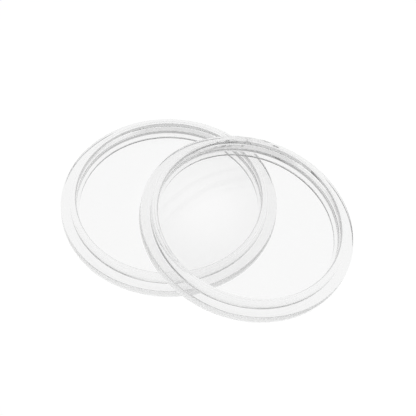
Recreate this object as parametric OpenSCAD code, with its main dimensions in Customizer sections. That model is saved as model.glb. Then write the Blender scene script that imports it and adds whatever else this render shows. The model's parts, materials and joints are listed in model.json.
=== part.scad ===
// Round coin capsule: two clear press-together halves, shown open.
// The base lies flat, and the lid leans on the base's ring with its bore up.
// Millimetres, +Z up. The origin is the centre of the base on the table.

/* [Half] */
// Outer diameter of the flange
flange_d = 41; // [39.5:0.5:60]
// Thickness of the flange
flange_t = 1.9; // [1.2:0.1:3]
// Diameter of the bore that the coin sits in
seat_d = 35; // [20:0.5:36.5]
// Wall of the ring round the bore
ring_wall = 1.2; // [1:0.1:1.6]
// Height of the ring above the flange
ring_h = 2; // [1:0.1:4]
// Thickness of the window
window_t = 0.6; // [0.5:0.05:1.2]
// Depth of the recess that keeps the window off the table
foot_h = 0.5; // [0.1:0.05:0.8]
// How far the foot ring reaches in under the window
foot_lip = 0.5; // [0:0.1:2]

/* [Edges] */
// Radius on the outer edges of the flange and the ring
edge_r = 0.25; // [0.1:0.05:0.3]
// Radius where the ring meets the flange
root_r = 0.2; // [0.1:0.05:0.4]
// Radius between the bore and the window
floor_r = 0.15; // [0.1:0.05:0.5]
// Width of the lead-in at the mouth of the bore
lead_in = 0.2; // [0.1:0.05:0.25]
// Depth of the lead-in
lead_depth = 0.35; // [0.1:0.05:0.8]

/* [Closing fit] */
// Width of the tongue on the lid's ring
tongue_w = 0.35; // [0.25:0.05:0.4]
// Height of the tongue
tongue_h = 0.35; // [0.2:0.05:0.6]
// Gap between the tongue and each wall of its groove
tongue_gap = 0.05; // [0.02:0.01:0.08]

/* [Layout] */
// Lean of the lid from level
lean_angle = 11.5; // [10:0.5:14]
// Sideways shift of the lid, square to the lean
side_shift = 5.5; // [0:0.5:8]
// Gap between the leaning lid and the base's ring
lean_gap = 0.05; // [0.02:0.01:0.2]

/* [Hidden] */
$fn = 96;
clear_tint = [0.9, 0.93, 0.95, 0.5];
arc_steps = 4;

flange_r = flange_d / 2;
seat_r = seat_d / 2;
ring_r = seat_r + ring_wall;
foot_r = seat_r - foot_lip;
ring_top = flange_t + ring_h;
floor_z = foot_h + window_t;

// The tongue and its groove run round the middle of the ring's top.
tongue_r = seat_r + (lead_in + ring_wall - edge_r) / 2;
groove_w = tongue_w + 2 * tongue_gap;
groove_h = tongue_h + tongue_gap;

// The lid's outer edge touches the table, and its window passes the gap
// above the rounded top edge of the base's ring.
lid_z = (flange_r - edge_r) * sin(lean_angle) + edge_r * (1 - cos(lean_angle));
rest_x = ring_r - edge_r;
rest_z = ring_top - edge_r;
lid_rise = cos(lean_angle) * (rest_z - lid_z) + edge_r + lean_gap - foot_h;
lid_x = rest_x + lid_rise / sin(lean_angle);

// Points of an arc about centre, from one angle to another
function arc(centre, radius, from, to) =
    [for (i = [0 : arc_steps])
        centre + radius * [cos(from + (to - from) * i / arc_steps),
                           sin(from + (to - from) * i / arc_steps)]];

// Half section of a shell, from the middle of its underside round to its floor
function shell_outline() = concat(
    [[0, foot_h], [foot_r, foot_h], [foot_r, 0]],
    arc([flange_r - edge_r, edge_r], edge_r, -90, 0),
    arc([flange_r - edge_r, flange_t - edge_r], edge_r, 0, 90),
    arc([ring_r + root_r, flange_t + root_r], root_r, 270, 180),
    arc([ring_r - edge_r, ring_top - edge_r], edge_r, 0, 90),
    [[seat_r + lead_in, ring_top], [seat_r, ring_top - lead_depth]],
    arc([seat_r - floor_r, floor_z + floor_r], floor_r, 0, -90),
    [[0, floor_z]]);

module shell() {
    rotate_extrude()
        polygon(shell_outline());
}

// Square band round the axis, centred on the tongue's radius
module closing_band(width, low, high) {
    rotate_extrude()
        translate([tongue_r - width / 2, low])
            square([width, high - low]);
}

module base_shell() {
    color(clear_tint)
        difference() {
            shell();
            closing_band(groove_w, ring_top - groove_h, ring_top + edge_r);
        }
}

module lid_shell() {
    color(clear_tint)
        translate([lid_x, -side_shift, lid_z])
            rotate([0, lean_angle, 0])
                union() {
                    shell();
                    closing_band(tongue_w, ring_top - edge_r, ring_top + tongue_h);
                }
}

base_shell();
lid_shell();
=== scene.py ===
import json
import math
import bpy
import bmesh
from mathutils import Matrix, Vector


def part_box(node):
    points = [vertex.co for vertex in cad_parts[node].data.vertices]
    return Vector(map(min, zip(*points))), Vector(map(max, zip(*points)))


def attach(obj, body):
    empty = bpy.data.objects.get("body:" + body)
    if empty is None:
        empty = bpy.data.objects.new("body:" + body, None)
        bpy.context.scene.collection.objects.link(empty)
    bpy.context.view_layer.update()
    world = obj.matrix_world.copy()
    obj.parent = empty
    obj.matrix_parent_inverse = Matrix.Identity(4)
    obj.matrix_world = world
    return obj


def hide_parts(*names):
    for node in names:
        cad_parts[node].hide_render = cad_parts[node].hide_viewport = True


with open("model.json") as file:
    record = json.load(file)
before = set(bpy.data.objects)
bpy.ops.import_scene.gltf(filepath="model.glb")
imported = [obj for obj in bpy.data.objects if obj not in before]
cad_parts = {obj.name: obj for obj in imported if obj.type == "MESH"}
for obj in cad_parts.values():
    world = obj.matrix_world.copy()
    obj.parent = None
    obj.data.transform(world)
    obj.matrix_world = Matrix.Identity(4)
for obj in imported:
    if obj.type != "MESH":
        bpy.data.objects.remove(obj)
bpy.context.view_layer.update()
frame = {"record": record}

mm = 0.001
mounts = {m["name"]: m for m in frame["record"]["mounts"]}
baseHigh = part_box("base_shell")[1]

shellSizes = {
    "flangeRadius": baseHigh.x,
    "ringTop": baseHigh.z,
    "seatRadius": mounts["base_seat"]["dims"]["r_mm"] * mm,
    "flangeThickness": 1.9 * mm,
    "ringWall": 1.2 * mm,
    "windowThickness": 0.6 * mm,
    "footHeight": 0.5 * mm,
    "footRadius": 17.0 * mm,
    "edgeRadius": 0.25 * mm,
    "rootRadius": 0.2 * mm,
    "floorRadius": 0.15 * mm,
    "leadIn": 0.2 * mm,
    "leadDepth": 0.35 * mm,
    "closingRadius": 18.075 * mm,
    "tongueWidth": 0.35 * mm,
    "tongueHeight": 0.35 * mm,
    "tongueGap": 0.05 * mm,
    "sides": 1024,
    "roundSteps": 5,
    "smoothAngle": 30,      # degrees past which an edge stays sharp
}
findWithin = 0.02 * mm      # how near an edge has to be to be found by its place


def deselectAll():
    bpy.ops.object.select_all(action="DESELECT")


def editFaces(obj, pick):
    # Selects the faces that pick says yes to, in edit mode
    mesh = bmesh.from_edit_mesh(obj.data)
    for face in mesh.faces:
        face.select_set(False)
    mesh.select_flush(False)
    for face in mesh.faces:
        if pick(face):
            face.select_set(True)
    bmesh.update_edit_mesh(obj.data)


def roundRing(obj, radius, height, amount, steps):
    # Bevels the ring of edges that lies at this radius and height
    mesh = bmesh.from_edit_mesh(obj.data)
    for face in mesh.faces:
        face.select_set(False)
    mesh.select_flush(False)
    count = 0
    for edge in mesh.edges:
        ends = [v.co for v in edge.verts]
        if all(abs(math.hypot(c.x, c.y) - radius) < findWithin
               and abs(c.z - height) < findWithin for c in ends):
            edge.select_set(True)
            count += 1
    bmesh.update_edit_mesh(obj.data)
    print("  rounding", count, "edges at", round(radius / mm, 3), round(height / mm, 3))
    bpy.ops.mesh.bevel(offset=amount, offset_type="OFFSET", segments=steps, affect="EDGES",
                       clamp_overlap=True)


def capAt(sides, height, up):
    # Finds the round cap at this height, the only face there with so many corners
    def pick(face):
        facing = face.normal.z > 0.9 if up else face.normal.z < -0.9
        onHeight = abs(face.calc_center_median().z - height) < findWithin
        return len(face.verts) == sides and facing and onHeight
    return pick


def insetCap(thickness, depth=0.0):
    bpy.ops.mesh.inset(thickness=thickness, depth=depth, use_boundary=True, use_even_offset=True)


def raiseCap(height):
    bpy.ops.mesh.extrude_region_move(TRANSFORM_OT_translate={"value": (0, 0, height)})


def markSection(obj):
    # Keeps each corner's distance from the axis and height in millimetres, and its
    # direction from the axis, as two maps the material reads
    section = obj.data.uv_layers.new(name="section")
    turn = obj.data.uv_layers.new(name="turn")
    for loop in obj.data.loops:
        co = obj.data.vertices[loop.vertex_index].co
        radius = math.hypot(co.x, co.y)
        section.data[loop.index].uv = (radius / mm, co.z / mm)
        turn.data[loop.index].uv = (co.x / radius, co.y / radius)


def makeShell(name, s, closing):
    # One half: window, foot ring, flange and the ring round the bore.
    # closing is +1 for a tongue on the ring's top, -1 for a groove in it.
    print("modelling", name)
    ringRadius = s["seatRadius"] + s["ringWall"]
    ringHeight = s["ringTop"] - s["flangeThickness"]
    floorHeight = s["footHeight"] + s["windowThickness"]
    bandWidth = s["tongueWidth"] + (0 if closing > 0 else 2 * s["tongueGap"])
    bandHeight = s["tongueHeight"] if closing > 0 else -(s["tongueHeight"] + s["tongueGap"])
    bandOuter = s["closingRadius"] + bandWidth / 2
    bandInner = s["closingRadius"] - bandWidth / 2
    deselectAll()
    bpy.ops.mesh.primitive_cylinder_add(vertices=s["sides"], radius=s["flangeRadius"],
                                        depth=s["flangeThickness"], end_fill_type="NGON",
                                        location=(0, 0, s["flangeThickness"] / 2))
    obj = bpy.context.object
    obj.name = name
    bpy.ops.object.transform_apply(location=True, rotation=True, scale=True)
    bpy.ops.object.mode_set(mode="EDIT")
    bpy.ops.mesh.select_mode(type="FACE")
    editFaces(obj, capAt(s["sides"], s["flangeThickness"], True))
    insetCap(s["flangeRadius"] - ringRadius)
    raiseCap(ringHeight)
    insetCap(ringRadius - bandOuter)
    raiseCap(bandHeight)
    insetCap(bandWidth)
    raiseCap(-bandHeight)
    insetCap(bandInner - s["seatRadius"] - s["leadIn"])
    insetCap(s["leadIn"], -s["leadDepth"])
    raiseCap(floorHeight - s["ringTop"] + s["leadDepth"])
    editFaces(obj, capAt(s["sides"], 0, False))
    insetCap(s["flangeRadius"] - s["footRadius"])
    raiseCap(s["footHeight"])
    bpy.ops.mesh.select_mode(type="EDGE")
    steps = s["roundSteps"]
    roundRing(obj, s["flangeRadius"], 0, s["edgeRadius"], steps)
    roundRing(obj, s["flangeRadius"], s["flangeThickness"], s["edgeRadius"], steps)
    roundRing(obj, ringRadius, s["flangeThickness"], s["rootRadius"], steps)
    roundRing(obj, ringRadius, s["ringTop"], s["edgeRadius"], steps)
    roundRing(obj, s["seatRadius"], floorHeight, s["floorRadius"], steps)
    bpy.ops.object.mode_set(mode="OBJECT")
    bpy.ops.object.shade_smooth_by_angle(angle=math.radians(s["smoothAngle"]))
    weighted = obj.modifiers.new("evenShading", "WEIGHTED_NORMAL")
    weighted.mode = "FACE_AREA"
    weighted.weight = 50
    weighted.keep_sharp = True
    bpy.ops.object.modifier_apply(modifier=weighted.name)
    markSection(obj)
    return obj


def layLid(obj):
    # Leans the finished lid as the frame has it, from its bore's axis and a point on it
    print("laying the lid")
    seat = mounts["lid_seat"]
    axis = Vector(seat["axis"])
    underside = Vector(seat["pos_m"]) - axis * mounts["base_seat"]["pos_m"][2]
    obj.rotation_euler = Vector((0, 0, 1)).rotation_difference(axis).to_euler()
    obj.location = underside
    deselectAll()
    obj.select_set(True)
    bpy.context.view_layer.objects.active = obj
    bpy.ops.object.transform_apply(location=True, rotation=True, scale=True)


baseShell = makeShell("baseShellClear", shellSizes, -1)
lidShell = makeShell("lidShellClear", shellSizes, 1)
layLid(lidShell)

plasticLooks = {
    "windowTint": (0.972, 0.972, 0.972, 1),
    "wallTint": (0.92, 0.92, 0.92, 1),
    # Painted shade: the dark tint of the painted lines along the edges, also the tone of the faint
    # clouds
    "paintedLineAndCloudTint": (0.3, 0.3, 0.3, 1),
    # Painted shade: the dark tint of the painted shade band on the upper wall of the bore
    "paintedShadeBandTint": (0.58, 0.58, 0.58, 1),
    # Millimetres from the axis
    "wallStart": 17.05,
    "boreRadius": 17.52,
    "mouthRadius": 17.75,
    "footInner": 16.95,
    # Millimetres above the foot
    "mouthHeight": 3.56,
    "stepLow": 2.05,
    "stepHigh": 2.2,
    "footLow": 0.03,
    "footHigh": 0.47,
    # How strong each painted shade line and the painted shade band are, from 0 to 1
    "mouthPaintedLine": 0.85,
    "stepPaintedLine": 0.45,
    "footPaintedLine": 1.0,
    "paintedShadeBandLeast": 0.1,
    "scratchScale": 380.0,
    "scratchDetail": 4,
    "scratchStretch": (1.0, 14.0, 1.0),
    "scratchTurn": 0.6,
    "scratchFrom": 0.68,    # noise value at which a scratch begins
    "scratchFull": 0.74,
    "scratchRough": 0.07,
    "scratchDepth": 0.004 * mm,
    "scratchBump": 0.3,
    "dustScale": 2600.0,
    "dustSize": 0.12,
    "cloudScale": 90.0,
    "cloudDetail": 3,
    "cloudAmount": 0.008,
    "ior": 1.49,
    # How strongly the painted shade band darkens the upper wall of the bore at places round it, which
    # run clockwise from above with 0.5 at the far side; the clear stretch just past the far side is a
    # painted highlight
    "paintedShadeBandRound": [(0.0, 0.2), (0.4, 0.25), (0.43, 1.0), (0.5, 1.0), (0.555, 0.95),
                  (0.575, 0.0), (0.62, 0.0), (0.64, 0.25), (1.0, 0.2)],
}


def addNode(tree, kind, **settings):
    node = tree.nodes.new(kind)
    for key, value in settings.items():
        setattr(node, key, value)
    return node


def mathNode(tree, operation, a, b=None):
    node = addNode(tree, "ShaderNodeMath", operation=operation)
    for i, value in enumerate((a, b)):
        if value is None:
            continue
        if isinstance(value, (int, float)):
            node.inputs[i].default_value = value
        else:
            tree.links.new(value, node.inputs[i])
    return node.outputs[0]


def mixColour(tree, factor, a, b):
    node = addNode(tree, "ShaderNodeMix", data_type="RGBA")
    tree.links.new(factor, node.inputs["Factor"])
    for value, socket in ((a, node.inputs[6]), (b, node.inputs[7])):
        if isinstance(value, tuple):
            socket.default_value = value
        else:
            tree.links.new(value, socket)
    return node.outputs[2]


def between(tree, value, low, high):
    return mathNode(tree, "MULTIPLY", mathNode(tree, "GREATER_THAN", value, low),
                    mathNode(tree, "LESS_THAN", value, high))


def makeDetailGroup(look):
    # Thick walls are greyer than the window, painted dark lines of shade run along the bore's mouth,
    # its step and the foot's inner wall, the upper wall of the bore carries a painted shade band with
    # a painted highlight gap, and all of it has scratches and dust
    print("plastic detail")
    tree = bpy.data.node_groups.new("clearPlasticPaintedShadeAndDetail", "ShaderNodeTree")
    for name, kind in (("Base Color", "Color"), ("Roughness", "Float"), ("Scratch Height", "Float")):
        tree.interface.new_socket(name=name, in_out="OUTPUT", socket_type="NodeSocket" + kind)
    out = addNode(tree, "NodeGroupOutput")
    section = addNode(tree, "ShaderNodeUVMap", uv_map="section")
    split = addNode(tree, "ShaderNodeSeparateXYZ")
    tree.links.new(section.outputs[0], split.inputs[0])
    radius, height = split.outputs[0], split.outputs[1]
    turn = addNode(tree, "ShaderNodeUVMap", uv_map="turn")
    turnSplit = addNode(tree, "ShaderNodeSeparateXYZ")
    tree.links.new(turn.outputs[0], turnSplit.inputs[0])
    angle = mathNode(tree, "ARCTAN2", turnSplit.outputs[0], turnSplit.outputs[1])
    angle = mathNode(tree, "ADD", mathNode(tree, "MULTIPLY", angle, 0.5 / math.pi), 0.5)
    # Strength of the painted shade band round the ring, read from the angle
    ramp = addNode(tree, "ShaderNodeValToRGB")
    stops = ramp.color_ramp.elements
    while len(stops) < len(look["paintedShadeBandRound"]):
        stops.new(0.5)
    for stop, (position, value) in zip(stops, look["paintedShadeBandRound"]):
        stop.position = position
        stop.color = (value, value, value, 1)
    tree.links.new(angle, ramp.inputs[0])

    # Painted shade band: the upper wall of the bore is darkened, most at the far side, with a clear
    # gap that stands in for a highlight
    inBore = mathNode(tree, "LESS_THAN", radius, look["boreRadius"])
    band = mathNode(tree, "MULTIPLY", inBore,
                    between(tree, height, look["stepHigh"], look["mouthHeight"]))
    paintedShadeBand = mathNode(tree, "MULTIPLY", band,
                    mathNode(tree, "MAXIMUM", ramp.outputs[0], look["paintedShadeBandLeast"]))
    # Painted dark lines of shade at the bore's mouth, its step and the foot's inner wall
    mouth = mathNode(tree, "MULTIPLY", mathNode(tree, "LESS_THAN", radius, look["mouthRadius"]),
                     mathNode(tree, "GREATER_THAN", height, look["mouthHeight"]))
    step = mathNode(tree, "MULTIPLY", inBore, between(tree, height, look["stepLow"], look["stepHigh"]))
    foot = mathNode(tree, "MULTIPLY", between(tree, radius, look["footInner"], look["wallStart"]),
                    between(tree, height, look["footLow"], look["footHigh"]))
    paintedShadeLine = mathNode(tree, "MAXIMUM", mathNode(tree, "MULTIPLY", mouth, look["mouthPaintedLine"]),
                    mathNode(tree, "MULTIPLY", step, look["stepPaintedLine"]))
    paintedShadeLine = mathNode(tree, "MAXIMUM", paintedShadeLine, mathNode(tree, "MULTIPLY", foot, look["footPaintedLine"]))

    coords = addNode(tree, "ShaderNodeTexCoord")
    stretch = addNode(tree, "ShaderNodeMapping")
    stretch.inputs["Scale"].default_value = look["scratchStretch"]
    stretch.inputs["Rotation"].default_value = (0, 0, look["scratchTurn"])
    tree.links.new(coords.outputs["Object"], stretch.inputs[0])
    scratches = addNode(tree, "ShaderNodeTexNoise")
    scratches.inputs["Scale"].default_value = look["scratchScale"]
    scratches.inputs["Detail"].default_value = look["scratchDetail"]
    tree.links.new(stretch.outputs[0], scratches.inputs["Vector"])
    scratch = addNode(tree, "ShaderNodeMapRange")
    scratch.inputs["From Min"].default_value = look["scratchFrom"]
    scratch.inputs["From Max"].default_value = look["scratchFull"]
    tree.links.new(scratches.outputs["Fac"], scratch.inputs["Value"])
    specks = addNode(tree, "ShaderNodeTexVoronoi")
    specks.inputs["Scale"].default_value = look["dustScale"]
    tree.links.new(coords.outputs["Object"], specks.inputs["Vector"])
    dust = mathNode(tree, "LESS_THAN", specks.outputs["Distance"], look["dustSize"])
    clouds = addNode(tree, "ShaderNodeTexNoise")
    clouds.inputs["Scale"].default_value = look["cloudScale"]
    clouds.inputs["Detail"].default_value = look["cloudDetail"]
    tree.links.new(coords.outputs["Object"], clouds.inputs["Vector"])
    soft = mathNode(tree, "MULTIPLY", clouds.outputs["Fac"], look["cloudAmount"])

    wall = mathNode(tree, "GREATER_THAN", radius, look["wallStart"])
    colour = mixColour(tree, wall, look["windowTint"], look["wallTint"])
    colour = mixColour(tree, soft, colour, look["paintedLineAndCloudTint"])
    # Painted shade band, then painted shade lines, laid over the plastic's own tone
    colour = mixColour(tree, paintedShadeBand, colour, look["paintedShadeBandTint"])
    colour = mixColour(tree, paintedShadeLine, colour, look["paintedLineAndCloudTint"])
    rough = mathNode(tree, "MULTIPLY", scratch.outputs[0], look["scratchRough"])
    rough = mathNode(tree, "MAXIMUM", rough, mathNode(tree, "MULTIPLY", dust, look["scratchRough"]))
    tree.links.new(colour, out.inputs["Base Color"])
    tree.links.new(rough, out.inputs["Roughness"])
    tree.links.new(scratch.outputs[0], out.inputs["Scratch Height"])
    return tree


def makeClearPlastic(name, look, detail):
    print("material", name)
    mat = bpy.data.materials.new(name)
    mat.use_nodes = True
    tree = mat.node_tree
    tree.nodes.clear()
    out = addNode(tree, "ShaderNodeOutputMaterial")
    group = addNode(tree, "ShaderNodeGroup", node_tree=detail)
    glass = addNode(tree, "ShaderNodeBsdfPrincipled")
    glass.inputs["Metallic"].default_value = 0
    glass.inputs["IOR"].default_value = look["ior"]
    glass.inputs["Transmission Weight"].default_value = 1
    tree.links.new(group.outputs["Base Color"], glass.inputs["Base Color"])
    tree.links.new(group.outputs["Roughness"], glass.inputs["Roughness"])
    bump = addNode(tree, "ShaderNodeBump", invert=True)
    bump.inputs["Distance"].default_value = look["scratchDepth"]
    bump.inputs["Strength"].default_value = look["scratchBump"]
    tree.links.new(group.outputs["Scratch Height"], bump.inputs["Height"])
    tree.links.new(bump.outputs[0], glass.inputs["Normal"])
    # Shadow rays pass straight through, so the plastic casts no dark shadow
    through = addNode(tree, "ShaderNodeBsdfTransparent")
    mix = addNode(tree, "ShaderNodeMixShader")
    path = addNode(tree, "ShaderNodeLightPath")
    tree.links.new(path.outputs["Is Shadow Ray"], mix.inputs[0])
    tree.links.new(glass.outputs[0], mix.inputs[1])
    tree.links.new(through.outputs[0], mix.inputs[2])
    tree.links.new(mix.outputs[0], out.inputs["Surface"])
    return mat


plasticDetail = makeDetailGroup(plasticLooks)
for shell, node, body, slot in ((baseShell, "base_shell", "base", "clear_base"),
                                (lidShell, "lid_shell", "lid", "clear_lid")):
    shell.data.materials.clear()
    shell.data.materials.append(makeClearPlastic(slot + "Plastic", plasticLooks, plasticDetail))
    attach(shell, body)
    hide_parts(node)

studio = {
    "elevation": 53.3,      # degrees, as are the next two
    "azimuth": 7.5,
    "roll": 1.5,
    "lens": 240,            # millimetres, long enough to see the part almost flat
    "sensor": 36,
    "viewWidth": 79.33 * mm,
    "aimRight": 7.5 * mm,
    "aimUp": 0.4 * mm,
    "floorSize": 0.6,
    "floorDrop": 0.02 * mm,
    "floorGlow": 1.0,
    "poolGlow": 0.09,
    "poolRadius": 16 * mm,
    "poolCentre": (6.9 * mm, 0.9 * mm, 0),
    "worldCamera": 1.0,
    "worldSlope": (0.1, 1.0, -0.15),    # how the room brightens along each axis
    "worldMiddle": 0.55,
    "worldLeast": 0.3,
    "bounces": 64,
}


def makeCamera(s):
    data = bpy.data.cameras.new("camera")
    data.lens = s["lens"]
    data.sensor_width = s["sensor"]
    cam = bpy.data.objects.new("camera", data)
    bpy.context.scene.collection.objects.link(cam)
    turn = math.radians(s["azimuth"])
    lift = math.radians(s["elevation"])
    # The camera stands on the -Y side, turned so that +X runs down to the right
    right = Vector((math.cos(turn), math.sin(turn), 0))
    away = Vector((-math.sin(turn), math.cos(turn), 0))
    look = away * math.cos(lift) - Vector((0, 0, 1)) * math.sin(lift)
    up = away * math.sin(lift) + Vector((0, 0, 1)) * math.cos(lift)
    distance = s["lens"] / s["sensor"] * s["viewWidth"]
    aim = right * s["aimRight"] + away * (s["aimUp"] / math.sin(lift))
    roll = math.radians(s["roll"])
    tiltedRight = right * math.cos(roll) + up * math.sin(roll)
    tiltedUp = up * math.cos(roll) - right * math.sin(roll)
    cam.matrix_world = Matrix((
        (tiltedRight.x, tiltedUp.x, -look.x, aim.x - look.x * distance),
        (tiltedRight.y, tiltedUp.y, -look.y, aim.y - look.y * distance),
        (tiltedRight.z, tiltedUp.z, -look.z, aim.z - look.z * distance),
        (0, 0, 0, 1)))
    data.clip_start = 0.01
    data.clip_end = 20
    bpy.context.scene.camera = cam


def makeFloor(s):
    # The floor glows evenly, with a soft pool of light where the halves overlap
    deselectAll()
    bpy.ops.mesh.primitive_plane_add(size=s["floorSize"], location=(0, 0, -s["floorDrop"]))
    floor = bpy.context.object
    floor.name = "studioFloor"
    mat = bpy.data.materials.new("studioFloor")
    mat.use_nodes = True
    tree = mat.node_tree
    shader = tree.nodes["Principled BSDF"]
    shader.inputs["Base Color"].default_value = (0.02, 0.02, 0.02, 1)
    shader.inputs["Roughness"].default_value = 0.9
    shader.inputs["Specular IOR Level"].default_value = 0.0
    shader.inputs["Emission Strength"].default_value = 1
    coords = addNode(tree, "ShaderNodeTexCoord")
    away = addNode(tree, "ShaderNodeVectorMath", operation="DISTANCE")
    away.inputs[1].default_value = s["poolCentre"]
    fade = addNode(tree, "ShaderNodeMapRange", interpolation_type="SMOOTHSTEP")
    fade.inputs["From Max"].default_value = s["poolRadius"]
    fade.inputs["To Min"].default_value = s["floorGlow"] + s["poolGlow"]
    fade.inputs["To Max"].default_value = s["floorGlow"]
    tree.links.new(coords.outputs["Object"], away.inputs[0])
    tree.links.new(away.outputs["Value"], fade.inputs["Value"])
    tree.links.new(fade.outputs[0], shader.inputs["Emission Color"])
    floor.data.materials.append(mat)


def makeWorld(s):
    # White behind the part, and a room around it that is brightest on the far side
    world = bpy.data.worlds.new("studioWorld")
    bpy.context.scene.world = world
    world.use_nodes = True
    tree = world.node_tree
    tree.nodes.clear()
    out = addNode(tree, "ShaderNodeOutputWorld")
    seen = addNode(tree, "ShaderNodeBackground")
    seen.inputs[0].default_value = (1, 1, 1, 1)
    seen.inputs[1].default_value = s["worldCamera"]
    around = addNode(tree, "ShaderNodeBackground")
    coords = addNode(tree, "ShaderNodeTexCoord")
    slope = addNode(tree, "ShaderNodeVectorMath", operation="DOT_PRODUCT")
    slope.inputs[1].default_value = s["worldSlope"]
    tree.links.new(coords.outputs["Generated"], slope.inputs[0])
    glow = mathNode(tree, "ADD", slope.outputs["Value"], s["worldMiddle"])
    tree.links.new(mathNode(tree, "MAXIMUM", glow, s["worldLeast"]), around.inputs[1])
    mix = addNode(tree, "ShaderNodeMixShader")
    path = addNode(tree, "ShaderNodeLightPath")
    tree.links.new(path.outputs["Is Camera Ray"], mix.inputs[0])
    tree.links.new(around.outputs[0], mix.inputs[1])
    tree.links.new(seen.outputs[0], mix.inputs[2])
    tree.links.new(mix.outputs[0], out.inputs[0])


print("studio")
makeCamera(studio)
makeFloor(studio)
makeWorld(studio)
bpy.context.scene.view_settings.view_transform = "Standard"
# Light runs round inside the clear edges many times before it leaves them
cycles = bpy.context.scene.cycles
cycles.max_bounces = studio["bounces"]
cycles.transmission_bounces = studio["bounces"]
cycles.glossy_bounces = studio["bounces"]
